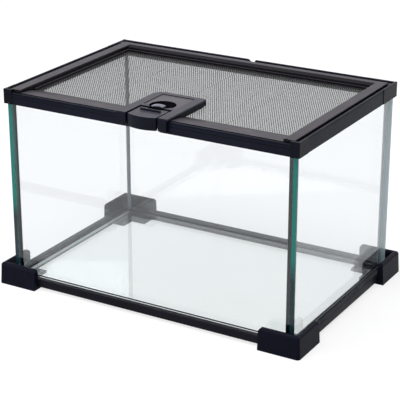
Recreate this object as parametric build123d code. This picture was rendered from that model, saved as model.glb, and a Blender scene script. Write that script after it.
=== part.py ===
from build123d import *
from math import cos, radians, sin, sqrt
import os

os.makedirs("parts", exist_ok=True)

# A small glass terrarium: five panes in a plastic bottom frame on four flared corner feet,
# a plastic rim, and a hinged mesh lid with a push-button latch and a lock dial.
# Millimetres. Origin on the floor under the middle; +X right, +Y back, +Z up.

# Driving dimensions
RIM_W, RIM_D = 300.0, 200.0       # outer faces of the top rim's corners
HEIGHT = 191.5                    # floor to the top of the rim and lid
RIM_H = 13.8                      # height of the rim
RIM_WALL, RIM_INNER = 2.5, 2.0    # outer and inner walls of the rim's channel
RAIL_INSET = 0.4                  # the rim's rails lie this far behind its corners
GROOVE, RIDGE_GROOVE_Z = 0.5, 190.0     # width of the rails' grooves; level of the one at the top
GLASS = 4.0                       # thickness of every pane
FOOT_FLARE, FOOT_LEG, FOOT_H = 9.0, 40.5, 21.1
FRONT_CORNER_LEGS = (8.7, 16.0)   # along X and along Y
REAR_CORNER_LEGS = (30.0, 30.0)
LID_CORNER_LEGS = (38.0, 28.0)

# Levels of the bottom frame
FRAME_Z0, FRAME_Z1 = 2.6, 10.2    # lower and upper edge of the bottom rails
FRAME_PROUD = 2.5                 # bottom rails stand out from the rim's outer faces
FRAME_LEDGE = 1.0                 # width of the ledge that carries the base glass
PANE_Z0 = 6.6                     # the panes stand in the bottom rails' channel
BASE_Z0 = 4.6                     # the base glass lies on the rails' inner ledge
BASE_Z1 = BASE_Z0 + GLASS
SLIP = 0.2                        # clearance of glass in a channel

# Levels of the rim
RIM_Z0 = HEIGHT - RIM_H
WEB_Z1 = 185.6                    # top of the rim's web, on which the lid rests
PANE_Z1 = WEB_Z1 - 1.8
FRONT_RIM_Z1 = 188.6              # the front rail is lower than the other three

# Glass box
GX, GY = RIM_W / 2 - RIM_WALL, RIM_D / 2 - RIM_WALL     # its outer faces
IX, IY = GX - GLASS, GY - GLASS                         # its inner faces
BEAD_RIGHT, BEAD_LEFT, BEAD_BACK = 5.6, 2.2, 2.8     # silicone beads in the vertical corners

# Lid frame
LID_X, LID_IN_X = 144.0, 133.5    # outer and inner faces of its side rails
LID_Y, LID_IN_Y = 92.6, 82.0      # outer and inner faces of its back rail
LID_LIP, LID_WALL = 1.6, 1.8      # thickness of the rails' outer lip and inner wall
LID_FRONT_Y = -97.0
FRONT_RAIL_EDGE = -76.0           # where the front rail meets the mesh
FRONT_RAIL_Z, FRONT_RAIL_LOW = 189.1, 186.3     # its height at the front and at the mesh
LID_LIP_Y = -90.8                 # in front of this the lid's underside clears the rim's web
LID_REST_Z = WEB_Z1 + 0.2
LID_FOOT_Z = 184.6                # underside of the ledge that carries the mesh
MESH_Z0, MESH_T = 186.0, 0.3
LEDGE = 2.0                       # width of the mesh ledge
HINGE_Y, HINGE_Z = 90.4, 189.2
PIN_R, PIN_PLAY = 1.0, 0.05
RISE = 187.2                      # underside of the lid's parts behind the hinge axis

# Mesh, drawn coarser than the real 2 mm one
MESH_PITCH, MESH_WEB = 12.75, 1.1
MESH_X, MESH_Y0, MESH_Y1 = LID_IN_X - 0.1, FRONT_RAIL_EDGE + 0.1, LID_IN_Y - 0.1

# Latch
HOUSING_X, HOUSING_Y1 = 26.0, -34.8
CORNER_LEFT, CORNER_RIGHT = 9.0, 2.5     # the housing's rear corners
HOUSING_EDGE, HOUSING_WALL = 0.7, 1.6
ARM_X, ARM_Y0, ARM_Y1, ARM_Z0 = 24.9, -103.0, -99.9, 179.6
SLOT_X, SLOT_Y1 = 16.4, -78.2     # the button's slot in the housing
TOP_Z0 = 189.9                    # underside of the housing's top plate
FLOOR_Z0, FLOOR_Z1 = 186.4, 187.2  # plate that closes the housing, on the mesh
PANEL_X, PANEL_Y0, PANEL_Y1, PANEL_Z = 16.6, -73.1, -41.0, 190.9
CAVITY_X, CAVITY_Y0, CAVITY_Y1 = 14.9, -72.0, -43.5
SCREW_R, SCREW_Z1 = 0.9, 189.3
CLAMP_Z0 = 184.4                  # underside of the plate the housing is screwed to
BUTTON_X, BUTTON_Z0, BUTTON_Z1 = 14.3, 179.4, 191.0
BUTTON_PLATE = 1.3
BUTTON_END_Y, BUTTON_MID_Y, SKIRT = -102.4, -105.6, 1.8
TRAVEL = 2.5
BUTTON_Y1 = SLOT_Y1 - TRAVEL - 0.3  # the button's back edge
GRIP_X, GRIP_Y0, GRIP_Y1, GRIP_Z = 10.2, -89.0, -87.3, 193.0
STEM_Z0, STEM_Z1 = 187.4, 188.4
FORK_IN, FORK_OUT, FORK_END = 6.5, 11.5, -57.1
FORK_Y0, FORK_Y1, RIB_Y1 = -86.6, -81.5, -85.0     # the fork's plate, and the rib it hangs from
FOLLOWER_Y0, FOLLOWER_Y1 = -76.8, -75.0     # the bar between the fork's arms
TONGUE_X, TONGUE_Z0, TONGUE_Z1 = 6.0, 181.8, 183.6
TONGUE_TIP, TONGUE_Y0, TONGUE_Y1 = -93.0, -88.6, -86.8
SPRING_X, SPRING_Z, SPRING_R, WIRE_R, SPRING_TURNS = 9.0, 188.2, 0.7, 0.15, 9

# Lock dial
DIAL_Y, DIAL_R, DIAL_GAP, DIAL_Z = -68.0, 11.7, 0.5, 190.7
FLANGE_R, FLANGE_Z0, FLANGE_Z1 = 13.2, 188.65, 189.65
HUB_R, LOBE_R, DIAL_PIN_R, WASHER_T = 3.2, 3.9, 2.0, 0.15
TAB_X, TAB_Y, TAB_Z, TAB_DOME = 1.5, -83.5, 193.0, 21.0     # the tab curves about (TAB_X, TAB_Y)
DISH_R, DISH_CHORD, DISH_ANGLE, DISH_Z = 11.2, 3.5, 52.0, 189.2


def block(x0, x1, y0, y1, z0, z1):
    """A box between two limits on each axis."""
    centre = ((x0 + x1) / 2, (y0 + y1) / 2, (z0 + z1) / 2)
    return Pos(*centre) * Box(abs(x1 - x0), abs(y1 - y0), abs(z1 - z0))


def drum(x, y, z0, z1, radius):
    """A vertical cylinder."""
    return Pos(x, y, (z0 + z1) / 2) * Cylinder(radius, z1 - z0)


def section(*points):
    """A closed outline of (distance from the middle, height) points, as a face."""
    return make_face(Polyline(*points, close=True))


def on_front(face, x0, x1):
    """Extrude a section along X on the front of the object."""
    plane = Plane(origin=(x0, 0, 0), x_dir=(0, -1, 0), z_dir=(-1, 0, 0))
    return extrude(plane * face, amount=x0 - x1)


def on_right(face, y0, y1):
    """Extrude a section along Y on the right of the object."""
    plane = Plane(origin=(0, y0, 0), x_dir=(1, 0, 0), z_dir=(0, -1, 0))
    return extrude(plane * face, amount=y0 - y1)


def mirror_x(shape):
    """The same piece on the other side, left to right."""
    return mirror(shape, about=Plane.YZ)


def mirror_y(shape):
    """The same piece on the other side, front to back."""
    return mirror(shape, about=Plane.XZ)


def save(node, *shapes):
    """Write one node's solids to its STEP file."""
    solids = [solid for shape in shapes for solid in shape.solids()]
    piece = solids[0] if len(solids) == 1 else Compound(children=solids)
    export_step(piece, f"parts/{node}.step")


# Glass and silicone

def panes():
    """The side panes run the full depth; the front and back panes stand between them."""
    front = block(-IX, IX, -GY, -IY, PANE_Z0, PANE_Z1)
    right = block(IX, GX, -GY, GY, PANE_Z0, PANE_Z1)
    return front, right


def base_glass():
    """The bottom pane, fitted between the walls."""
    joint = 0.1
    return block(joint - IX, IX - joint, joint - IY, IY - joint, BASE_Z0, BASE_Z1)


def base_seal():
    """Fillet of silicone on top of the base glass, along the foot of the panes."""
    fillet, lip = 1.2, 0.2
    ring = block(-IX, IX, -IY, IY, BASE_Z1, BASE_Z1 + fillet)
    low = Pos(0, 0, BASE_Z1) * Rectangle(2 * (IX - fillet), 2 * (IY - fillet))
    high = Pos(0, 0, BASE_Z1 + fillet) * Rectangle(2 * (IX - lip), 2 * (IY - lip))
    return ring - loft([low, high])


def corner_beads():
    """Silicone beads in the four vertical corners, run by hand and so not alike."""
    z0, z1 = BASE_Z1 + 2, RIM_Z0 - SLIP
    right, left, back = [], [], []
    for beads, size in ((right, BEAD_RIGHT), (left, BEAD_LEFT), (back, BEAD_BACK)):
        outline = Polyline((IX, -IY), (IX - size, -IY), (IX, size - IY), close=True)
        beads.append(extrude(Pos(0, 0, z0) * make_face(outline), amount=z1 - z0))
    back_right = mirror_y(back[0])
    return right[0], mirror_x(left[0]), back_right, mirror_x(back_right)


# Bottom frame and feet

def frame_section(rim, glass, inside):
    """Bottom rail in section: outer wall, channel for a pane, ledge for the base glass."""
    edge = rim + FRAME_PROUD
    round_off, ledge, lip = 0.5, inside - FRAME_LEDGE, 0.8
    return section((edge, FRAME_Z0), (edge, FRAME_Z1 - round_off), (edge - round_off, FRAME_Z1),
                   (glass + SLIP, FRAME_Z1), (glass + SLIP, PANE_Z0),
                   (inside, PANE_Z0), (inside, BASE_Z0),
                   (ledge, BASE_Z0), (ledge, BASE_Z0 - lip), (inside, FRAME_Z0))


def bottom_rails():
    """Front rail over the full width, side rail between front and back rails."""
    half = RIM_W / 2 + FRAME_PROUD
    front = on_front(frame_section(RIM_D / 2, GY, IY), -half, half)
    channel = block(IX, GX + SLIP, -GY - SLIP, 0, PANE_Z0, FRAME_Z1 + 1)
    wall = block(GX + SLIP, half, -GY - SLIP, FRAME_LEDGE - IY, FRAME_Z0, FRAME_Z1)
    front = front - channel - mirror_x(channel) + [wall, mirror_x(wall)]
    right = on_right(frame_section(RIM_W / 2, GX, IX), FRAME_LEDGE - IY, IY - FRAME_LEDGE)
    return front, right


def foot_section(rim):
    """A foot's leg in section: floor under the rail, flared outer wall, rounded crest."""
    under = 16.0
    shoulder, crest, inside = (rim + 7.9, 17.5), (rim + 4.9, FOOT_H), (rim + FRAME_PROUD, 18.9)
    outer_round = ThreePointArc(shoulder, (rim + 7.0, 20.15), crest)
    inner_round = ThreePointArc(crest, (rim + 3.2, 20.4), inside)
    rest = Polyline(inside, (rim + FRAME_PROUD, FRAME_Z0), (rim - under, FRAME_Z0),
                    (rim - under, 0), (rim + FOOT_FLARE, 0), shoulder)
    return make_face([outer_round, inner_round, *rest.edges()])


def foot_outline(half):
    """A foot's leg seen square to its wall, with the top of its end rounded."""
    end, round_off = half + FOOT_FLARE - FOOT_LEG, 4.0
    far, middle = half + FOOT_FLARE + 1, round_off * (1 - sqrt(0.5))
    start, stop = (end, FOOT_H - round_off), (end + round_off, FOOT_H)
    corner = ThreePointArc(start, (end + middle, FOOT_H - middle), stop)
    return make_face([corner, *Polyline(stop, (far, FOOT_H), (far, 0), (end, 0), start).edges()])


def foot():
    """Front right foot: two legs mitred at the corner, the outer corner turned round."""
    half_w, half_d = RIM_W / 2, RIM_D / 2
    far_x, far_y = half_w + FOOT_FLARE, half_d + FOOT_FLARE
    outer, reach = (far_x + 1, -far_y - 1), 60.0
    inner = (outer[0] - reach, outer[1] + reach)
    front_half = make_face(Polyline(outer, inner, (inner[0], outer[1]), close=True))
    side_half = make_face(Polyline(outer, inner, (outer[0], inner[1]), close=True))
    front = on_front(foot_section(half_d), far_x - FOOT_LEG, far_x + 1)
    front &= on_right(foot_outline(half_w), -far_y - 1, 0)
    side = on_right(foot_section(half_w), -far_y - 1, FOOT_LEG - far_y)
    side &= on_front(foot_outline(half_d), 0, far_x + 1)
    legs = (front & extrude(front_half, amount=FOOT_H)) + (side & extrude(side_half, amount=FOOT_H))
    bend = 6.0
    bend_x, bend_y = half_w + bend, -half_d - bend
    legs -= block(bend_x, far_x + 1, bend_y, -far_y - 1, -1, FOOT_H + 1)
    outside = Pos(bend_x + bend / 2, FOOT_H / 2) * Rectangle(bend, FOOT_H + 2)
    plane = Plane(origin=(0, bend_y, 0), x_dir=(1, 0, 0), z_dir=(0, -1, 0))
    turned = revolve(plane * (foot_section(half_w) & outside), Axis((bend_x, bend_y, 0), (0, 0, -1)), 90)
    return legs + turned


# Rim

def rim_section(rim, inset, top):
    """Rim in section: a high outer wall, a web on the glass, and an inner wall."""
    face, back, inner = rim - inset, rim - RIM_WALL, rim - RIM_WALL - GLASS
    tip = 0.4
    return section((face, RIM_Z0), (face, top - tip), (face - tip, top), (back + tip, top),
                   (back, top - tip), (back, WEB_Z1), (inner - RIM_INNER, WEB_Z1),
                   (inner - RIM_INNER, RIM_Z0), (inner, RIM_Z0), (inner, PANE_Z1),
                   (back, PANE_Z1), (back, RIM_Z0))


def front_rim_rail():
    """Front rail with two fine grooves: its middle, set back behind the button, and one side."""
    half = RIM_W / 2 - FRONT_CORNER_LEGS[0]
    rail = on_front(rim_section(RIM_D / 2, RAIL_INSET, FRONT_RIM_Z1), -half, half)
    face = RAIL_INSET - RIM_D / 2
    for z0, depth in ((184.0, 0.5), (187.0, 0.6)):
        rail -= block(-half, half, face - 1, face + depth, z0, z0 + GROOVE)
    seam, below, above = SLOT_X - 0.3, RIM_Z0 - 1, FRONT_RIM_Z1 + 1
    middle = rail & block(-seam, seam, -GY, 0, below, above)
    window, play = TONGUE_X + 0.6, 0.4
    middle -= block(-window, window, -IY - 1, RIM_INNER + 1 - IY, TONGUE_Z0 - play, TONGUE_Z1 + play)
    return middle, rail & block(seam, half, face - 1, 0, below, above)


def side_rim_rail():
    """Right rail, with one fine groove under its ridge."""
    y0, y1 = FRONT_CORNER_LEGS[1] - RIM_D / 2, RIM_D / 2 - REAR_CORNER_LEGS[1]
    rail = on_right(rim_section(RIM_W / 2, RAIL_INSET, HEIGHT), y0, y1)
    face, depth = RIM_W / 2 - RAIL_INSET, 0.4
    return rail - block(face - depth, face + 1, y0, y1, RIDGE_GROOVE_Z, RIDGE_GROOVE_Z + GROOVE)


def back_rim_rail():
    """Back rail, with a notch for a cable in its ridge, drawn at the front and mirrored."""
    half = RIM_W / 2 - REAR_CORNER_LEGS[0]
    rail = on_front(rim_section(RIM_D / 2, RAIL_INSET, HEIGHT), -half, half)
    face, depth = RAIL_INSET - RIM_D / 2, 0.4
    rail -= block(-half, half, face - 1, face + depth, RIDGE_GROOVE_Z, RIDGE_GROOVE_Z + GROOVE)
    floor, above = HEIGHT - 3.6, HEIGHT + 1
    notch = make_face(Polyline((-6.2, above), (-0.9, floor), (1.4, floor), (3.6, above), close=True))
    plane = Plane(origin=(0, 1 - GY, 0), x_dir=(1, 0, 0), z_dir=(0, -1, 0))
    return mirror_y(rail - extrude(plane * notch, amount=2 * RIM_WALL))


def rim_corner(legs):
    """Front right corner connector: the rim's section along both sides of the corner."""
    half_w, half_d = RIM_W / 2, RIM_D / 2
    front = on_front(rim_section(half_d, 0, HEIGHT), half_w - legs[0], half_w)
    side = on_right(rim_section(half_w, 0, HEIGHT), -half_d, legs[1] - half_d)
    below = RIM_Z0 - 1
    room = block(IX, GX, -GY, GY, below, PANE_Z1) + block(-IX, IX, -GY, -IY, below, PANE_Z1)
    lid_room = block(0, GX, -GY, 0, WEB_Z1, HEIGHT + 1)
    return front + side - room - lid_room


def hinge_corner():
    """Back right corner connector, with the cheek that holds a hinge pin."""
    corner = mirror_y(rim_corner(REAR_CORNER_LEGS))
    gap, half, drop = 0.6, 2.5, 0.4
    cheek = block(LID_X + gap, GX, HINGE_Y - half, HINGE_Y + half, WEB_Z1, HEIGHT - drop)
    return corner + cheek - hinge_pin()


def hinge_pin(radius=PIN_R):
    """Right hinge pin, along X."""
    in_lid, in_rim = 7.0, 1.5
    x0, x1 = LID_X - in_lid, GX + in_rim
    return Pos((x0 + x1) / 2, HINGE_Y, HINGE_Z) * Rot(0, 90, 0) * Cylinder(radius, x1 - x0)


# Lid frame

def lid_side_section():
    """Side rail of the lid in section: lip, top flange, inner wall and mesh ledge."""
    tip, bevel, wall, top, ledge = 0.4, 0.6, LID_WALL, HEIGHT - 1.5, MESH_Z0 - 0.1
    return section((LID_X, LID_REST_Z), (LID_X, HEIGHT - tip), (LID_X - tip, HEIGHT),
                   (LID_IN_X + bevel, HEIGHT), (LID_IN_X, HEIGHT - bevel), (LID_IN_X, ledge),
                   (LID_IN_X - LEDGE, ledge), (LID_IN_X - LEDGE, LID_FOOT_Z),
                   (LID_IN_X + wall, LID_FOOT_Z), (LID_IN_X + wall, top),
                   (LID_X - LID_LIP, top), (LID_X - LID_LIP, LID_REST_Z))


def lid_back_section():
    """Back rail of the lid in section: its top slopes towards the mesh."""
    tip, wall, top, ledge = 0.4, LID_WALL, HEIGHT - 1.5, MESH_Z0 - 0.1
    return section((LID_Y, RISE), (LID_Y, HEIGHT - tip), (LID_Y - tip, HEIGHT),
                   (LID_IN_Y + 4, HEIGHT), (LID_IN_Y, HEIGHT - 1.7), (LID_IN_Y, ledge),
                   (LID_IN_Y - LEDGE, ledge), (LID_IN_Y - LEDGE, LID_FOOT_Z),
                   (LID_IN_Y + wall, LID_FOOT_Z), (LID_IN_Y + wall, top - 0.9),
                   (LID_IN_Y + 4.6, top), (LID_Y - LID_LIP, top), (LID_Y - LID_LIP, RISE))


def lid_side_rail():
    """Right side rail, between the front rail's end plug and the back corner."""
    y0, y1 = LID_FRONT_Y + 1, LID_Y - LID_CORNER_LEGS[1]
    ledge_start = FRONT_RAIL_EDGE + LEDGE + 0.8
    ledge = block(0, LID_IN_X, y0 - 1, ledge_start, LID_FOOT_Z - 1, HEIGHT)
    foot_of_wall = block(0, LID_X, y0 - 1, LID_LIP_Y, LID_FOOT_Z - 1, LID_REST_Z)
    return on_right(lid_side_section(), y0, y1) - ledge - foot_of_wall


def lid_end_plug():
    """Plug in the open front end of the right side rail, with a notch in its top edge."""
    thick, play, reach = 1.0, 0.3, 6.0
    x0, x1 = LID_IN_X + LID_WALL + play, LID_X - LID_LIP - play
    y1 = LID_FRONT_Y + thick
    plate = block(LID_IN_X, LID_X, LID_FRONT_Y, y1, LID_REST_Z, HEIGHT)
    spigot = block(x0, x1, y1, y1 + reach, LID_REST_Z + 0.8, HEIGHT - 1.8)
    notch = block(LID_IN_X + 2, LID_IN_X + 3.5, LID_FRONT_Y - 1, y1 + 1, HEIGHT - 1.2, HEIGHT + 1)
    return plate + spigot - notch


def lid_back_rail():
    """Back rail, between the two back corners."""
    half = LID_X - LID_CORNER_LEGS[0]
    return mirror_y(on_front(lid_back_section(), -half, half))


def lid_corner():
    """Back right corner of the lid, with the block that turns on the hinge pin."""
    back = mirror_y(on_front(lid_back_section(), LID_X - LID_CORNER_LEGS[0], LID_X))
    side = on_right(lid_side_section(), LID_Y - LID_CORNER_LEGS[1], LID_Y)
    corner = back + side
    wide, before, behind = 8.0, 2.4, 0.9
    corner += block(LID_X - wide, LID_X, HINGE_Y - before, LID_Y, RISE, HEIGHT - 0.5)
    corner -= block(LID_IN_X - 5, LID_X + 1, HINGE_Y - behind, LID_Y + 1, LID_FOOT_Z - 1, RISE)
    corner -= block(LID_IN_X + LID_WALL, LID_X + 1, LID_IN_Y - 5, LID_Y, LID_FOOT_Z - 1, LID_REST_Z)
    return corner - hinge_pin(PIN_R + PIN_PLAY)


def front_rail_top():
    """Top of the lid's front rail in section: straight, then rounding down to the mesh."""
    bend = (-86.0, 188.05)
    slope = Line((LID_FRONT_Y, FRONT_RAIL_Z), bend)
    drop = ThreePointArc(bend, (-80.6, 187.25), (FRONT_RAIL_EDGE, FRONT_RAIL_LOW))
    return slope, drop


def lid_front_rail():
    """Broad front rail, with a pocket and a slot for the latch."""
    slope, drop = front_rail_top()
    ledge_y, ledge, lip_y = FRONT_RAIL_EDGE + LEDGE + 0.8, MESH_Z0 - 0.1, LID_LIP_Y
    rest = Polyline((FRONT_RAIL_EDGE, FRONT_RAIL_LOW), (FRONT_RAIL_EDGE, ledge),
                    (ledge_y, ledge), (ledge_y, LID_FOOT_Z), (lip_y, LID_FOOT_Z),
                    (lip_y, LID_REST_Z), (LID_FRONT_Y, LID_REST_Z), (LID_FRONT_Y, FRONT_RAIL_Z))
    face = Plane.YZ.offset(-LID_IN_X) * make_face([slope, drop, *rest.edges()])
    rail = extrude(face, amount=2 * LID_IN_X)
    front, back, half = TONGUE_TIP - 1.2, TONGUE_Y1 + TRAVEL + 0.9, TONGUE_X + 1.5
    rail -= block(-SLOT_X, SLOT_X, front, FRONT_RAIL_EDGE + 1, FLOOR_Z1 - 0.2, HEIGHT)
    return rail - block(-half, half, front, back, LID_FOOT_Z - 1, HEIGHT)


def mesh_columns():
    """Centres of the mesh's holes: rows along X, each shifted by half a pitch."""
    rise = MESH_PITCH * sqrt(3) / 2
    edge_x, y0, y1 = MESH_X, MESH_Y0, MESH_Y1
    hole = MESH_PITCH / 2 + MESH_WEB / 2
    rows = int((y1 - y0 - 2 * hole) / rise)
    start = (y0 + y1) / 2 - rows * rise / 2
    centres = []
    for row in range(rows + 1):
        shift = 0 if row % 2 else MESH_PITCH / 2
        count = int((edge_x - hole - shift) / MESH_PITCH)
        first = -count if row % 2 else -count - 1
        centres += [(shift + MESH_PITCH * i, start + rise * row) for i in range(first, count + 1)]
    return centres


def mesh_screen():
    """Flat screen with staggered six-sided holes."""
    edge_x, y0, y1 = MESH_X, MESH_Y0, MESH_Y1
    hole_r = (MESH_PITCH - MESH_WEB) / sqrt(3)
    outer = Wire.make_polygon([(-edge_x, y0), (edge_x, y0), (edge_x, y1), (-edge_x, y1)])
    hexagon = [(hole_r * cos(radians(60 * i + 30)), hole_r * sin(radians(60 * i + 30))) for i in range(6)]
    holes = []
    for cx, cy in mesh_columns():
        holes.append(Wire.make_polygon([(cx + dx, cy + dy) for dx, dy in hexagon]))
    return extrude(Pos(0, 0, MESH_Z0) * Face(outer, holes), amount=MESH_T)


def mesh_retainer():
    """Strips that clamp the mesh onto the ledge along the sides and the back."""
    z0, z1, width, play = MESH_Z0 + MESH_T, 187.8, 1.7, 0.1
    x0, y1 = LID_IN_X - play - width, LID_IN_Y - play
    right = block(x0, LID_IN_X - play, FRONT_RAIL_EDGE + 0.3, y1, z0, z1)
    back = block(play - x0, x0 - play, y1 - width, y1, z0, z1)
    return right, mirror_x(right), back


# Latch

def screw_places():
    """Mesh holes nearest to where the housing's four screws go."""
    places = []
    side, rear, fore = 19, -47, -69
    for x, y in ((-side, rear), (side, rear), (-side, fore), (side, fore)):
        places.append(min(mesh_columns(), key=lambda c: (c[0] - x) ** 2 + (c[1] - y) ** 2))
    return places


def bezel(inset, y0, z0, z1):
    """A block with the housing's plan, smaller by an inset, its rear left corner the rounder."""
    side = HOUSING_X - inset
    body = block(-side, side, y0, HOUSING_Y1 - inset, z0, z1)
    left = body.edges().filter_by(Axis.Z).sort_by(Axis.X)[:2].sort_by(Axis.Y)[-1]
    body = fillet(left, CORNER_LEFT - inset)
    right = body.edges().filter_by(Axis.Z).sort_by(Axis.X)[-2:].sort_by(Axis.Y)[-1]
    return fillet(right, CORNER_RIGHT - inset)


def latch_housing():
    """Bezel on the mesh and the front rail, with two arms down the front."""
    body = bezel(0, ARM_Y0, FLOOR_Z0, HEIGHT)
    body = chamfer(body.faces().sort_by(Axis.Z)[-1].edges(), HOUSING_EDGE)
    slope, drop = front_rail_top()
    rim_y, below, gap = ARM_Y0 - 1, ARM_Z0, 0.15
    shut = Polyline((FRONT_RAIL_EDGE, FRONT_RAIL_LOW), (FRONT_RAIL_EDGE, below), (rim_y, below),
                    (rim_y, FRONT_RAIL_Z), (LID_FRONT_Y, FRONT_RAIL_Z))
    under = Plane.YZ.offset(-HOUSING_X - 1) * make_face([slope, drop, *shut.edges()])
    body -= Pos(0, 0, gap) * extrude(under, amount=2 * HOUSING_X + 2)
    arm = block(SLOT_X, ARM_X, ARM_Y0, ARM_Y1, ARM_Z0, HEIGHT - HOUSING_EDGE)
    body += [arm, mirror_x(arm)]
    body -= block(-SLOT_X, SLOT_X, ARM_Y0 - 1, SLOT_Y1, ARM_Z0 - 1, HEIGHT + 1)
    body -= block(-SLOT_X, SLOT_X, SLOT_Y1 - 1, CAVITY_Y0 + 1, FLOOR_Z0 - 1, TOP_Z0)
    body -= block(-CAVITY_X, CAVITY_X, CAVITY_Y0, CAVITY_Y1, FLOOR_Z0 - 1, TOP_Z0 + 1)
    body -= block(-PANEL_X, PANEL_X, PANEL_Y0, PANEL_Y1, TOP_Z0, HEIGHT + 1)
    body -= bezel(HOUSING_WALL, FRONT_RAIL_EDGE, FLOOR_Z0 - 1, FLOOR_Z1)
    body -= drum(0, DIAL_Y, TOP_Z0 - 1, HEIGHT + 1, DIAL_R + DIAL_GAP)
    for x, y in screw_places():
        body -= drum(x, y, FLOOR_Z1, SCREW_Z1 + 0.1, SCREW_R)
    return body


def housing_panel():
    """Inset panel in the bezel, with the round opening for the dial."""
    play = 0.15
    panel = block(play - PANEL_X, PANEL_X - play, PANEL_Y0 + play, PANEL_Y1 - play, TOP_Z0, PANEL_Z)
    return panel - drum(0, DIAL_Y, TOP_Z0 - 1, HEIGHT, DIAL_R + DIAL_GAP)


def housing_floor():
    """Plate that closes the housing on the mesh, with the dial's pin."""
    play = 0.2
    plate = bezel(HOUSING_WALL + play, FRONT_RAIL_EDGE + play, FLOOR_Z0, FLOOR_Z1)
    plate += drum(0, DIAL_Y, FLOOR_Z1, FLANGE_Z0, DIAL_PIN_R)
    for x, y in screw_places():
        plate -= drum(x, y, FLOOR_Z0 - 1, FLOOR_Z1 + 1, SCREW_R + 0.1)
    return plate


def clamp_plate():
    """Plate under the mesh that the housing is screwed to."""
    half, y0, y1 = 24.0, -72.6, -38.0
    plate = block(-half, half, y0, y1, CLAMP_Z0, MESH_Z0 - 0.05)
    for x, y in screw_places():
        plate -= drum(x, y, CLAMP_Z0 - 1, MESH_Z0 + 1, SCREW_R + 0.1)
    return plate


def housing_screws():
    """Four screws from under the mesh, with low round heads."""
    head_r, head = 1.9, 1.0
    return [drum(x, y, CLAMP_Z0, SCREW_Z1, SCREW_R) + drum(x, y, CLAMP_Z0 - head, CLAMP_Z0, head_r)
            for x, y in screw_places()]


def button_front(y_end, y_mid, z0, z1):
    """Everything behind a front face that bulges in the middle."""
    bulge = ThreePointArc((-BUTTON_X, y_end), (0, y_mid), (BUTTON_X, y_end))
    back = Polyline((BUTTON_X, y_end), (BUTTON_X, BUTTON_Y1), (-BUTTON_X, BUTTON_Y1), (-BUTTON_X, y_end))
    face = make_face([bulge, *back.edges()])
    return extrude(Pos(0, 0, z0) * face, amount=z1 - z0)


def latch_button():
    """Curved front, top plate with a grip bar, and a rib under it that carries the fork."""
    top_z0, room = BUTTON_Z1 - BUTTON_PLATE, 1.0
    button = button_front(BUTTON_END_Y, BUTTON_MID_Y, BUTTON_Z0, BUTTON_Z1)
    hollow = button_front(BUTTON_END_Y + SKIRT, BUTTON_MID_Y + SKIRT, BUTTON_Z0 - 1, top_z0)
    button -= hollow
    button -= drum(0, DIAL_Y, top_z0 - 1, BUTTON_Z1 + 1, DIAL_R + TRAVEL + room)
    grip = block(-GRIP_X, GRIP_X, GRIP_Y0, GRIP_Y1, BUTTON_Z1 - 0.5, GRIP_Z)
    button += chamfer(grip.faces().sort_by(Axis.Z)[-1].edges(), 0.5)
    return button + block(-FORK_OUT, FORK_OUT, FORK_Y0, RIB_Y1, STEM_Z1, top_z0 + 0.5)


def button_fork():
    """Flat fork that runs under the dial, with a peg for each spring."""
    fork = block(-FORK_OUT, FORK_OUT, FORK_Y0, FORK_Y1, STEM_Z0, STEM_Z1)
    fork += block(-FORK_OUT, FORK_OUT, FOLLOWER_Y0, FOLLOWER_Y1, STEM_Z0, STEM_Z1)
    arm = block(FORK_IN, FORK_OUT, FORK_Y1, FORK_END, STEM_Z0, STEM_Z1)
    peg_r, peg = 0.35, 3.5
    tip = Pos(SPRING_X, FORK_END + peg / 2, SPRING_Z) * Rot(90, 0, 0) * Cylinder(peg_r, peg)
    return fork + [arm, tip, mirror_x(arm), mirror_x(tip)]


def latch_tongue():
    """Blade under the button, with a tip that catches in the rim's keeper window."""
    blade = block(-TONGUE_X, TONGUE_X, TONGUE_Y0, TONGUE_Y1, TONGUE_Z0, BUTTON_Z1 - BUTTON_PLATE)
    lead = 1.2
    tip = [(-TONGUE_TIP, TONGUE_Z0 + lead), (-TONGUE_TIP, TONGUE_Z1), (-TONGUE_Y1, TONGUE_Z1),
           (-TONGUE_Y1, TONGUE_Z0), (-TONGUE_TIP - lead, TONGUE_Z0)]
    return blade + on_front(section(*tip), -TONGUE_X, TONGUE_X)


def latch_spring():
    """Right spring, a coil between the fork's arm and the housing's back wall."""
    gap = 0.1
    length = CAVITY_Y1 - FORK_END - 2 * gap - 2 * WIRE_R
    coil = Helix(length / SPRING_TURNS, length, SPRING_R)
    start = Plane(origin=coil @ 0, z_dir=coil % 0)
    wire = sweep(start * Circle(WIRE_R), path=coil)
    print("spring: least gap between turns", round(length / SPRING_TURNS - 2 * WIRE_R, 2))
    return Pos(SPRING_X, FORK_END + gap + WIRE_R, SPRING_Z) * Rot(-90, 0, 0) * wire


# Lock dial

def dial_tab():
    """Thumb tab: a ridge round a point in front of the dial, sloping down to the front."""
    front, ridge, back, low = 4.5, 11.3, 12.4, TAB_Z - 2
    slope = ThreePointArc((front, low), (8.2, TAB_Z - 0.45), (ridge, TAB_Z))
    fall = ThreePointArc((ridge, TAB_Z), (12.08, TAB_Z - 0.32), (back, TAB_Z - 1.1))
    rest = Polyline((back, TAB_Z - 1.1), (back, FLANGE_Z0), (front, FLANGE_Z0), (front, low))
    ring = revolve(Plane.XZ * make_face([slope, fall, *rest.edges()]), Axis.Z)
    side, crown, under = DIAL_R + 1, TAB_Z - 0.05, FLANGE_Z0 - 1
    shoulder = crown - TAB_DOME + sqrt(TAB_DOME ** 2 - side ** 2)
    arch = ThreePointArc((-side, shoulder), (0, crown), (side, shoulder))
    below = Polyline((side, shoulder), (side, under), (-side, under), (-side, shoulder))
    dome = on_right(make_face([arch, *below.edges()]), DIAL_Y - side, DIAL_Y + side)
    return Pos(TAB_X, TAB_Y, 0) * ring & drum(0, DIAL_Y, FLANGE_Z0, TAB_Z + 1, DIAL_R) & dome


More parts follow.
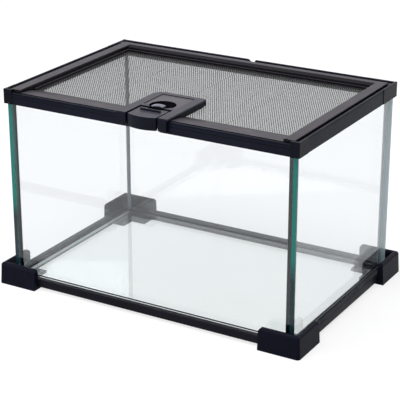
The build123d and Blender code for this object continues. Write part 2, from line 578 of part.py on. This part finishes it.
def lock_dial():
    """Disc with a raised thumb tab and a dish, a flange under the panel, hub and cam."""
    top = drum(0, DIAL_Y, FLANGE_Z0, DIAL_Z, DIAL_R)
    dish = drum(0, DIAL_Y, DISH_Z, DIAL_Z + 1, DISH_R)
    beyond = block(DISH_CHORD, 2 * DIAL_R, -2 * DIAL_R, 2 * DIAL_R, DISH_Z - 1, DIAL_Z + 2)
    dish -= Pos(0, DIAL_Y, 0) * Rot(0, 0, DISH_ANGLE) * beyond
    play, lobe_half = 0.05, 1.8
    hub = drum(0, DIAL_Y, FLOOR_Z1 + WASHER_T + play, FLANGE_Z0, HUB_R)
    lobe = block(-LOBE_R, 0, DIAL_Y - lobe_half, DIAL_Y + lobe_half, STEM_Z0, STEM_Z1)
    flange = drum(0, DIAL_Y, FLANGE_Z0, FLANGE_Z1, FLANGE_R)
    body = top - dish + dial_tab() + flange + hub + lobe
    return body - drum(0, DIAL_Y, FLOOR_Z1, FLANGE_Z0 + 0.1, DIAL_PIN_R + PIN_PLAY)


def dial_washer():
    """Thin friction washer between the dial's hub and the floor plate."""
    ring = drum(0, DIAL_Y, FLOOR_Z1, FLOOR_Z1 + WASHER_T, HUB_R)
    return ring - drum(0, DIAL_Y, FLOOR_Z1 - 1, FLOOR_Z1 + 1, DIAL_PIN_R + PIN_PLAY)


def build_tank():
    """Everything that stands still."""
    front_pane, side_pane = panes()
    front_frame, side_frame = bottom_rails()
    save("front_glass", front_pane)
    save("back_glass", mirror_y(front_pane))
    save("right_glass", side_pane)
    save("left_glass", mirror_x(side_pane))
    save("base_glass", base_glass())
    save("base_seal", base_seal())
    save("corner_seals", *corner_beads())
    save("bottom_rail_front", front_frame)
    save("bottom_rail_back", mirror_y(front_frame))
    save("bottom_rail_right", side_frame)
    save("bottom_rail_left", mirror_x(side_frame))
    corner = foot()
    save("foot_front_right", corner)
    save("foot_front_left", mirror_x(corner))
    save("foot_back_right", mirror_y(corner))
    save("foot_back_left", mirror_x(mirror_y(corner)))
    keeper, front_right = front_rim_rail()
    save("latch_keeper_rail", keeper)
    save("rim_rail_front_right", front_right)
    save("rim_rail_front_left", mirror_x(front_right))
    save("rim_rail_back", back_rim_rail())
    save("rim_rail_right", side_rim_rail())
    save("rim_rail_left", mirror_x(side_rim_rail()))
    front_corner, back_corner = rim_corner(FRONT_CORNER_LEGS), hinge_corner()
    save("rim_corner_front_right", front_corner)
    save("rim_corner_front_left", mirror_x(front_corner))
    save("rim_corner_back_right", back_corner)
    save("rim_corner_back_left", mirror_x(back_corner))
    save("hinge_pins", hinge_pin(), mirror_x(hinge_pin()))


def build_lid():
    """The lid frame with its mesh, and what is fixed to it."""
    save("lid_front_rail", lid_front_rail())
    save("lid_side_rail_right", lid_side_rail())
    save("lid_side_rail_left", mirror_x(lid_side_rail()))
    save("lid_end_plugs", lid_end_plug(), mirror_x(lid_end_plug()))
    save("lid_back_rail", lid_back_rail())
    save("lid_corner_right", lid_corner())
    save("lid_corner_left", mirror_x(lid_corner()))
    save("mesh_screen", mesh_screen())
    save("mesh_retainer", *mesh_retainer())
    save("latch_housing", latch_housing())
    save("housing_panel", housing_panel())
    save("housing_floor", housing_floor())
    save("clamp_plate", clamp_plate())
    save("housing_screws", *housing_screws())
    save("latch_springs", latch_spring(), mirror_x(latch_spring()))
    save("dial_washer", dial_washer())


def build_latch():
    """The button with its tongue, and the lock dial."""
    save("latch_button", latch_button())
    save("button_fork", button_fork())
    save("latch_tongue", latch_tongue())
    save("lock_dial", lock_dial())


build_tank()
build_lid()
build_latch()
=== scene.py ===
import bpy, bmesh
from math import radians, sqrt
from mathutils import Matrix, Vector


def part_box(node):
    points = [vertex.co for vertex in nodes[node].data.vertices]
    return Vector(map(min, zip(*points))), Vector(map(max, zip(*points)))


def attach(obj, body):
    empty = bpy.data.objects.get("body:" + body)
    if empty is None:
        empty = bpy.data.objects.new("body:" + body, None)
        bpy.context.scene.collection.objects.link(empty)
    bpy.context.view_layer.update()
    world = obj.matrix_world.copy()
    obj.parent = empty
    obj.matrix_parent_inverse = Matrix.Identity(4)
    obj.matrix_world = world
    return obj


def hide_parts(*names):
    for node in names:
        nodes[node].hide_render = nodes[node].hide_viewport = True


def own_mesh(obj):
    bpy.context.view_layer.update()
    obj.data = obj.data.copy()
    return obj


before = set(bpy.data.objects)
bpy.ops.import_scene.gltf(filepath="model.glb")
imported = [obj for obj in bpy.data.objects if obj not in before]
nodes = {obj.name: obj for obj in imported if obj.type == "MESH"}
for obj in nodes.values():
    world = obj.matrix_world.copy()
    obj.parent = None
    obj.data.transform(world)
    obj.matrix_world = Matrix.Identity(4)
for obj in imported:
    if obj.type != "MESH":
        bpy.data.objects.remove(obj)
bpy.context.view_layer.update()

# --- Bottom rails ---
# Four black ABS rails carry the base glass and hold the panes' lower edges in a channel.
# They are injection moulded with a satin skin, and pushed onto the glass with silicone.
def new_finish(name):
    """An empty finish: the material, its node tree and its skin."""
    mat = bpy.data.materials.new(name)
    mat.use_nodes = True
    return mat, mat.node_tree, mat.node_tree.nodes["Principled BSDF"]


def add_node(tree, kind, **settings):
    """A shader node with some inputs set; To_Min stands for the input To Min."""
    node = tree.nodes.new("ShaderNode" + kind)
    for key, value in settings.items():
        node.inputs[key.replace("_", " ")].default_value = value
    return node


def mottle(tree, place, **settings):
    """An uneven pattern that lies on the object's own coordinates."""
    node = add_node(tree, "TexNoise", **settings)
    tree.links.new(place.outputs["Object"], node.inputs["Vector"])
    return node.outputs["Fac"]


def part_along(tree, vector, axis):
    """A place's or a normal's part along X, Y or Z."""
    node = add_node(tree, "SeparateXYZ")
    tree.links.new(vector, node.inputs["Vector"])
    return node.outputs[axis]


def fit_between(tree, value, **limits):
    """A value moved from one range to another and held inside it."""
    node = add_node(tree, "MapRange", **limits)
    tree.links.new(value, node.inputs["Value"])
    return node.outputs["Result"]


def two_tones(tree, value, low_stop, low_tone, high_stop, high_tone):
    """One tone up to a value's low stop, another from its high stop, and a blend between."""
    node = add_node(tree, "ValToRGB")
    low_end, high_end = node.color_ramp.elements
    low_end.position, low_end.color = low_stop, (*low_tone, 1)
    high_end.position, high_end.color = high_stop, (*high_tone, 1)
    tree.links.new(value, node.inputs["Fac"])
    return node.outputs["Color"]


def lay_over(tree, share, under, colour):
    """A tone with a share of one more colour laid over it."""
    node = add_node(tree, "MixRGB", Color2=(*colour, 1))
    tree.links.new(share, node.inputs["Fac"])
    tree.links.new(under, node.inputs["Color1"])
    return node.outputs["Color"]


flow_scale, flow_detail, flow_depth = 22.0, 3.0, 0.2
spark_scale, spark_detail, spark_height = 2200.0, 2.0, 0.00006
worn_scale, worn_gloss, worn_dull = 60.0, 0.04, 0.05
low_mottle, high_mottle = 0.3, 0.7
# a pale tone for faces that look up: partly dust, partly a painted sheen that lightens the tops
dust_and_sheen_colour, dust_and_sheen_slope = (0.56, 0.50, 0.60), 0.93
edge_round, edge_samples = 0.0005, 4
plastic_ior = 1.5


def moulded_black(name, colour, roughness, shine, grain=0.35, dust_and_sheen=0.0):
    """Black moulded plastic: a fine spark grain, flow marks, uneven gloss, and dust with a painted
    sheen on its tops.
    """
    mat, tree, skin = new_finish(name)
    link = tree.links.new
    skin.inputs["IOR"].default_value = plastic_ior
    skin.inputs["Specular IOR Level"].default_value = shine
    place = add_node(tree, "TexCoord")
    # flow marks change the black a little over some centimetres
    flow = mottle(tree, place, Scale=flow_scale, Detail=flow_detail)
    tint = two_tones(tree, flow, low_mottle, [c * (1 - flow_depth) for c in colour],
                     high_mottle, [c * (1 + flow_depth) for c in colour])
    # a breath of dust and a painted sheen lie where the object's own faces look up, so the tops
    # are painted lighter
    upward = part_along(tree, place.outputs["Normal"], "Z")
    lying = fit_between(tree, upward, From_Min=dust_and_sheen_slope, To_Max=dust_and_sheen)
    link(lay_over(tree, lying, tint, dust_and_sheen_colour), skin.inputs["Base Color"])
    # the spark-eroded grain of the mould, over edges that are broken by half a millimetre
    broken = add_node(tree, "Bevel", Radius=edge_round)
    broken.samples = edge_samples
    bump = add_node(tree, "Bump", Strength=grain, Distance=spark_height)
    link(broken.outputs["Normal"], bump.inputs["Normal"])
    link(mottle(tree, place, Scale=spark_scale, Detail=spark_detail), bump.inputs["Height"])
    link(bump.outputs["Normal"], skin.inputs["Normal"])
    # handling polishes some patches
    worn = mottle(tree, place, Scale=worn_scale)
    gloss = fit_between(tree, worn, From_Min=low_mottle, From_Max=high_mottle,
                        To_Min=roughness - worn_gloss, To_Max=roughness + worn_dull)
    link(gloss, skin.inputs["Roughness"])
    return mat


def dress(mat, *names):
    """Give CAD nodes a finish in their material slots."""
    for name in names:
        for slot in nodes[name].material_slots:
            slot.material = mat


rail_black = moulded_black("rail_black", colour=(0.012, 0.012, 0.018), roughness=0.36, shine=0.05)
dress(rail_black, "bottom_rail_front", "bottom_rail_back", "bottom_rail_left", "bottom_rail_right")

# --- Feet ---
# Each corner stands in a flared L-shaped foot of black ABS with a slightly matt skin.
# The feet are moulded in one piece and clip over the rails from below.
foot_black = moulded_black("foot_black", colour=(0.008, 0.009, 0.018), roughness=0.30,
                           shine=0.03, grain=0.3)
dress(foot_black, "foot_front_left", "foot_front_right", "foot_back_left", "foot_back_right")

# --- Glass panes ---
# Five panes of 4 mm float glass with ground edges: four walls and a base.
# They are glued edge to edge; seen along the pane, the iron in the glass shows sea green.
sheen_colour, sheen_roughness = (0.94, 0.98, 1.0), 0.02
mirror_power = 5.0
pane_top = 0.19
# the edges' dark low tone is painted shade, and their pale tone further back is painted light
painted_shade_stop, painted_shade_edge = 0.38, (0.012, 0.045, 0.055)
green_stop, green_edge = 0.50, (0.012, 0.25, 0.21)
grind_scale, grind_depth = 90.0, 0.08
edge_roughness, edge_shine = 0.18, 0.3
edge_slope = 0.5
tank_middle, everywhere = 0.0, -1.0


def work_out(tree, operation, *terms):
    """One step of arithmetic; each term is an output or a number."""
    node = add_node(tree, "Math")
    node.operation = operation
    for socket, term in zip(node.inputs, terms):
        if isinstance(term, float):
            socket.default_value = term
        else:
            tree.links.new(term, socket)
    return node.outputs["Value"]


def float_glass(name, edge_axis, tint, mirror, painted_pale, painted_pale_from=tank_middle):
    """Clear faces that mirror a little, and ground edges across edge_axis."""
    mat, tree, edge = new_finish(name)
    link = tree.links.new
    clear = add_node(tree, "BsdfTransparent", Color=(*tint, 1))
    sheen = add_node(tree, "BsdfGlossy", Color=(*sheen_colour, 1), Roughness=sheen_roughness)
    # each face mirrors a little head on and more towards grazing, alike from both sides
    slant = add_node(tree, "LayerWeight", Blend=0.5)
    steep = work_out(tree, "POWER", slant.outputs["Facing"], mirror_power)
    face = add_node(tree, "MixShader")
    link(fit_between(tree, steep, To_Min=mirror), face.inputs["Fac"])
    link(clear.outputs["BSDF"], face.inputs[1])
    link(sheen.outputs["BSDF"], face.inputs[2])
    # the ground edges turn from dark to sea green at about 75 mm, a little unevenly; the dark low
    # part is painted shade, the green is the iron in the glass;
    # behind the given depth they are painted pale, a painted light, because light reaches them on
    # all sides
    place = add_node(tree, "TexCoord")
    height = fit_between(tree, part_along(tree, place.outputs["Object"], "Z"), From_Max=pane_top)
    grind = mottle(tree, place, Scale=grind_scale)
    green_and_painted_shade = two_tones(tree, work_out(tree, "MULTIPLY_ADD", grind, grind_depth, height),
                      painted_shade_stop, painted_shade_edge, green_stop, green_edge)
    depth = part_along(tree, place.outputs["Object"], "Y")
    behind = work_out(tree, "GREATER_THAN", depth, painted_pale_from)
    link(lay_over(tree, behind, green_and_painted_shade, painted_pale), edge.inputs["Base Color"])
    edge.inputs["Roughness"].default_value = edge_roughness
    edge.inputs["Specular IOR Level"].default_value = edge_shine
    # the object normal's part along the edge axis picks out the edges
    sideways = work_out(tree, "ABSOLUTE", part_along(tree, place.outputs["Normal"], edge_axis))
    whole = add_node(tree, "MixShader")
    link(work_out(tree, "GREATER_THAN", sideways, edge_slope), whole.inputs["Fac"])
    link(face.outputs["Shader"], whole.inputs[1])
    link(edge.outputs["BSDF"], whole.inputs[2])
    link(whole.outputs["Shader"], tree.nodes["Material Output"].inputs["Surface"])
    return mat


wall_tint, wall_mirror, wall_painted_pale = (0.962, 0.967, 0.969), 0.055, (0.62, 0.76, 0.80)
side_glass = float_glass("side_glass", "Y", wall_tint, wall_mirror, wall_painted_pale)
dress(side_glass, "left_glass", "right_glass")
wall_glass = float_glass("wall_glass", "X", wall_tint, wall_mirror, wall_painted_pale)
dress(wall_glass, "front_glass", "back_glass")
bottom_glass = float_glass("bottom_glass", "X", tint=(0.985, 1.0, 0.992), mirror=0.06,
                           painted_pale=(0.94, 0.97, 0.98), painted_pale_from=everywhere)
dress(bottom_glass, "base_glass")

# --- Silicone ---
# Black acetic silicone seals the front corners and the base; it is gunned in and wiped off
# with a fingertip, so it is smooth. The silicone in the two rear corners is a clear grey.
silicone_black, silicone_roughness = (0.004, 0.004, 0.006), 0.38
clear_grey, clear_alpha = (0.22, 0.26, 0.32), 0.6


def clear_behind(mat):
    """Black in front of the tank's middle, a clear grey behind it."""
    tree = mat.node_tree
    skin = tree.nodes["Principled BSDF"]
    depth = part_along(tree, add_node(tree, "TexCoord").outputs["Object"], "Y")
    rear = work_out(tree, "GREATER_THAN", depth, tank_middle)
    black = skin.inputs["Base Color"].links[0].from_socket
    tree.links.new(lay_over(tree, rear, black, clear_grey), skin.inputs["Base Color"])
    solid = fit_between(tree, rear, To_Min=1.0, To_Max=clear_alpha)
    tree.links.new(solid, skin.inputs["Alpha"])


silicone = moulded_black("silicone", silicone_black, silicone_roughness, shine=0.16, grain=0.15)
dress(silicone, "base_seal")
joint = moulded_black("joint_silicone", silicone_black, silicone_roughness, shine=0.16, grain=0.15)
clear_behind(joint)
dress(joint, "corner_seals")

# --- Rim ---
# The top rim is made of black ABS rails and four corner connectors, glued on the glass.
# The front rail is in three lengths, and the connectors stand slightly proud of the rails.
rim_black = moulded_black("rim_black", colour=(0.013, 0.015, 0.027), roughness=0.30, shine=0.04)
dress(rim_black, "latch_keeper_rail", "rim_rail_front_left", "rim_rail_front_right",
      "rim_rail_back", "rim_rail_left", "rim_rail_right")
corner_black = moulded_black("corner_black", colour=(0.009, 0.010, 0.017), roughness=0.25,
                             shine=0.05)
dress(corner_black, "rim_corner_front_left", "rim_corner_front_right",
      "rim_corner_back_left", "rim_corner_back_right")

# --- Lid frame ---
# The lid is a flat frame of extruded side and back rails, two moulded rear corners with
# the hinge eyes, and a broad moulded front rail; plugs close the side rails' front ends.
lid_black = moulded_black("lid_black", colour=(0.008, 0.007, 0.010), roughness=0.34, shine=0.07,
                          dust_and_sheen=0.085)
dress(lid_black, "lid_front_rail", "lid_side_rail_left", "lid_side_rail_right", "lid_back_rail",
      "lid_corner_left", "lid_corner_right", "lid_end_plugs", "mesh_retainer")

# --- Latch ---
# Bezel, inset panel, sprung button and lock dial are separate ABS mouldings, screwed
# together through the mesh with four small steel screws.
latch_black = moulded_black("latch_black", colour=(0.007, 0.009, 0.017), roughness=0.32,
                            shine=0.08, dust_and_sheen=0.08)
dress(latch_black, "latch_housing", "latch_button", "latch_tongue", "button_fork", "housing_floor",
      "clamp_plate", "dial_washer")
panel_black = moulded_black("panel_black", colour=(0.010, 0.009, 0.012), roughness=0.40,
                            shine=0.14, grain=0.6, dust_and_sheen=0.15)
dress(panel_black, "housing_panel")
tab_foot, tab_top = 0.1920, 0.1925
painted_tab_highlight = (0.11, 0.12, 0.17)


def polish_and_highlight_tab(mat):
    """Polish the dial's raised tab, as thumbs do, and paint a bluish highlight on its top; the
    rest of the dial stays dull.
    """
    tree = mat.node_tree
    skin = tree.nodes["Principled BSDF"]
    height = part_along(tree, add_node(tree, "TexCoord").outputs["Object"], "Z")
    raised = fit_between(tree, height, From_Min=tab_foot, From_Max=tab_top)
    tree.links.new(raised, skin.inputs["Specular IOR Level"])
    black = skin.inputs["Base Color"].links[0].from_socket
    # the tab's top is painted a lighter blue: a painted highlight
    tree.links.new(lay_over(tree, raised, black, painted_tab_highlight), skin.inputs["Base Color"])


dial_black = moulded_black("dial_black", colour=(0.004, 0.004, 0.006), roughness=0.16, shine=0.5,
                           grain=0.1)
polish_and_highlight_tab(dial_black)
dress(dial_black, "lock_dial")


brushed_scale = 1500.0
steel_dark, steel_bright, steel_roughness = (0.42, 0.42, 0.44), (0.62, 0.62, 0.63), 0.32


def plain_steel(name):
    """Zinc-plated steel wire and pins with a faint brushed grain."""
    mat, tree, skin = new_finish(name)
    grain = mottle(tree, add_node(tree, "TexCoord"), Scale=brushed_scale)
    tone = two_tones(tree, grain, 0.0, steel_dark, 1.0, steel_bright)
    tree.links.new(tone, skin.inputs["Base Color"])
    skin.inputs["Metallic"].default_value = 1.0
    skin.inputs["Roughness"].default_value = steel_roughness
    return mat


plated_steel = plain_steel("plated_steel")
dress(plated_steel, "hinge_pins", "latch_springs", "housing_screws")
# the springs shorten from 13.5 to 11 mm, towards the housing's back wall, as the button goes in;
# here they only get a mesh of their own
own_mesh(nodes["latch_springs"])

# --- Mesh screen ---
# The lid's ventilation is one thin steel sheet with staggered diamond holes at 2.2 mm,
# slit, stretched flat and coated black; the lid frame clamps it along its edges.
mesh_pitch, mesh_web, mesh_thick = 0.0022, 0.00076, 0.00012
mesh_rise = mesh_pitch * sqrt(3) / 2
mesh_gap = 0.00005
cut_gap, weld_gap = 1e-7, 2e-6
low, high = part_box("mesh_screen")
mesh_z = low.z + mesh_gap


def everything(bm):
    """All that a bmesh holds, as its operators take it."""
    return bm.verts[:] + bm.edges[:] + bm.faces[:]


def move_new(bm, made, step):
    """Move the vertices that an operator has just made."""
    moved = [g for g in made["geom"] if isinstance(g, bmesh.types.BMVert)]
    bmesh.ops.translate(bm, verts=moved, vec=step)


def new_object(bm, name):
    """Turn a bmesh into an object at the origin."""
    data = bpy.data.meshes.new(name)
    bm.to_mesh(data)
    bm.free()
    made = bpy.data.objects.new(name, data)
    bpy.context.scene.collection.objects.link(made)
    return made


def doublings(step, length):
    """Steps that double until they have passed a length."""
    while step < length:
        yield step
        step *= 2


def mesh_panel(name, x0, x1, y0, y1):
    """A flat strip of the stretched sheet, cut straight at its edges."""
    bm = bmesh.new()
    outer = bmesh.ops.create_circle(bm, segments=4, radius=1.0)["verts"]
    inner = bmesh.ops.create_circle(bm, segments=4, radius=1.0 - mesh_web / mesh_rise)["verts"]
    bmesh.ops.scale(bm, verts=outer + inner, vec=(mesh_pitch / 2, mesh_rise, 1))
    rings = list({e for v in outer + inner for e in v.link_edges})
    bmesh.ops.bridge_loops(bm, edges=rings)
    # two staggered holes, then doubled along X and Y until the strip is covered
    spare = 2 * mesh_pitch
    steps = [Vector((mesh_pitch / 2, mesh_rise, 0))]
    steps += [Vector((step, 0, 0)) for step in doublings(mesh_pitch, x1 - x0 + spare)]
    steps += [Vector((0, step, 0)) for step in doublings(2 * mesh_rise, y1 - y0 + spare)]
    for step in steps:
        move_new(bm, bmesh.ops.duplicate(bm, geom=everything(bm)), step)
    bmesh.ops.translate(bm, verts=bm.verts[:], vec=(x0 - mesh_pitch, y0 - mesh_pitch, 0))
    for point, outward in (((x0, 0, 0), (-1, 0, 0)), ((x1, 0, 0), (1, 0, 0)),
                           ((0, y0, 0), (0, -1, 0)), ((0, y1, 0), (0, 1, 0))):
        bmesh.ops.bisect_plane(bm, geom=everything(bm), dist=cut_gap, plane_co=point,
                               plane_no=outward, clear_outer=True)
    bmesh.ops.remove_doubles(bm, verts=bm.verts[:], dist=weld_gap)
    bmesh.ops.recalc_face_normals(bm, faces=bm.faces[:])
    # the flat net becomes a sheet with its underside at mesh_z
    move_new(bm, bmesh.ops.extrude_face_region(bm, geom=bm.faces[:]), (0, 0, mesh_thick))
    bmesh.ops.translate(bm, verts=bm.verts[:], vec=(0, 0, mesh_z))
    bmesh.ops.recalc_face_normals(bm, faces=bm.faces[:])
    return new_object(bm, name)


patch_scale, patch_detail = 120.0, 4.0
black_stop, coat_black = 0.35, (0.010, 0.010, 0.011)
grey_stop, coat_grey = 0.8, (0.030, 0.030, 0.032)
coat_roughness, coat_shine = 0.35, 0.5


def coated_steel(name):
    """Black stoved coating on thin steel, a little patchy."""
    mat, tree, skin = new_finish(name)
    patch = mottle(tree, add_node(tree, "TexCoord"), Scale=patch_scale, Detail=patch_detail)
    tone = two_tones(tree, patch, black_stop, coat_black, grey_stop, coat_grey)
    tree.links.new(tone, skin.inputs["Base Color"])
    skin.inputs["Specular IOR Level"].default_value = coat_shine
    skin.inputs["Roughness"].default_value = coat_roughness
    return mat


mesh_black = coated_steel("mesh_black")
# the sheet is made in four strips side by side, so that no piece has too many triangles
panels = 4
width = (high.x - low.x) / panels
for i in range(panels):
    left, right = low.x + i * width, low.x + (i + 1) * width
    strip = mesh_panel(f"mesh_screen_{i + 1}", left, right, low.y, high.y)
    strip.data.materials.append(mesh_black)
    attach(strip, "lid")
    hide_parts("mesh_screen")

# --- Floor and backdrop ---
# A wide pale floor; to the camera, and in glass and gloss, it is the white of the studio.
# It is stage and no part of the object, and lies a tenth of a millimetre under the feet.
floor_half, floor_drop = 6.0, 0.0001
floor_grey, floor_roughness, floor_lift = (0.34, 0.34, 0.35), 0.9, 0.73


def seen_directly(tree):
    """1 for rays from the camera, from gloss and through glass; 0 for light on the object."""
    path = add_node(tree, "LightPath")
    either = path.outputs["Is Camera Ray"]
    for kind in ("Is Glossy Ray", "Is Transmission Ray"):
        either = work_out(tree, "MAXIMUM", either, path.outputs[kind])
    return either


def studio_white(name):
    """A matt white that keeps shadows, lifted for the camera to the white of the paper."""
    mat, tree, skin = new_finish(name)
    skin.inputs["Base Color"].default_value = (*floor_grey, 1)
    skin.inputs["Roughness"].default_value = floor_roughness
    skin.inputs["Specular IOR Level"].default_value = 0.0
    skin.inputs["Emission Color"].default_value = (1, 1, 1, 1)
    lift = fit_between(tree, seen_directly(tree), To_Max=floor_lift)
    tree.links.new(lift, skin.inputs["Emission Strength"])
    return mat


bm = bmesh.new()
bmesh.ops.create_grid(bm, x_segments=1, y_segments=1, size=floor_half)
bmesh.ops.translate(bm, verts=bm.verts[:], vec=(0, 0, -floor_drop))
floor = new_object(bm, "studio_floor")
floor.data.materials.append(studio_white("studio_white"))

# --- Light ---
# A large soft lamp overhead, a weaker one high behind the right corner and a low one at the
# front left, under a white sky that is darker for the object than it looks to the camera.
sky_light, sky_seen = 0.38, 1.0
world = bpy.data.worlds.new("studio_sky")
bpy.context.scene.world = world
world.use_nodes = True
tree = world.node_tree
sky = tree.nodes["Background"]
sky.inputs["Color"].default_value = (1, 1, 1, 1)
level = fit_between(tree, seen_directly(tree), To_Min=sky_light, To_Max=sky_seen)
tree.links.new(level, sky.inputs["Strength"])


def soft_lamp(name, place, aim, size, power):
    """A rectangular lamp that looks at a point; metres and watts."""
    lamp = bpy.data.lights.new(name, "AREA")
    lamp.shape = "RECTANGLE"
    lamp.size, lamp.size_y = size
    lamp.energy = power
    holder = bpy.data.objects.new(name, lamp)
    bpy.context.scene.collection.objects.link(holder)
    holder.location = place
    holder.rotation_euler = (Vector(aim) - Vector(place)).to_track_quat("-Z", "Y").to_euler()


soft_lamp("overhead", place=(-0.35, -0.3, 1.6), aim=(-0.1, 0, 0.1), size=(1.8, 1.1), power=24)
soft_lamp("back_right", place=(0.85, 1.75, 1.25), aim=(0, 0, 0.19), size=(1.1, 0.6), power=8)
soft_lamp("front_left", place=(-1.1, -1.5, 0.45), aim=(0, 0, 0.1), size=(1.0, 0.5), power=6)

# --- Camera ---
# A long lens from the front right, 1.3 m away and looking down on the tank, at the angle
# that the tank's own corners have in the photograph. Angles are in degrees, the lens in mm.
stand_point = (0.6333, -1.0875, 0.5700)
look_down, turned = 21.32, 30.29
focal_length, sensor_width = 129.1, 36.0
lens = bpy.data.cameras.new("photo_view")
lens.lens = focal_length
lens.sensor_width = sensor_width
lens.clip_start, lens.clip_end = 0.05, 50
camera = bpy.data.objects.new("photo_view", lens)
bpy.context.scene.collection.objects.link(camera)
camera.location = stand_point
camera.rotation_euler = (radians(90 - look_down), 0, radians(turned))
bpy.context.scene.camera = camera

bpy.context.scene.view_settings.view_transform = "Standard"
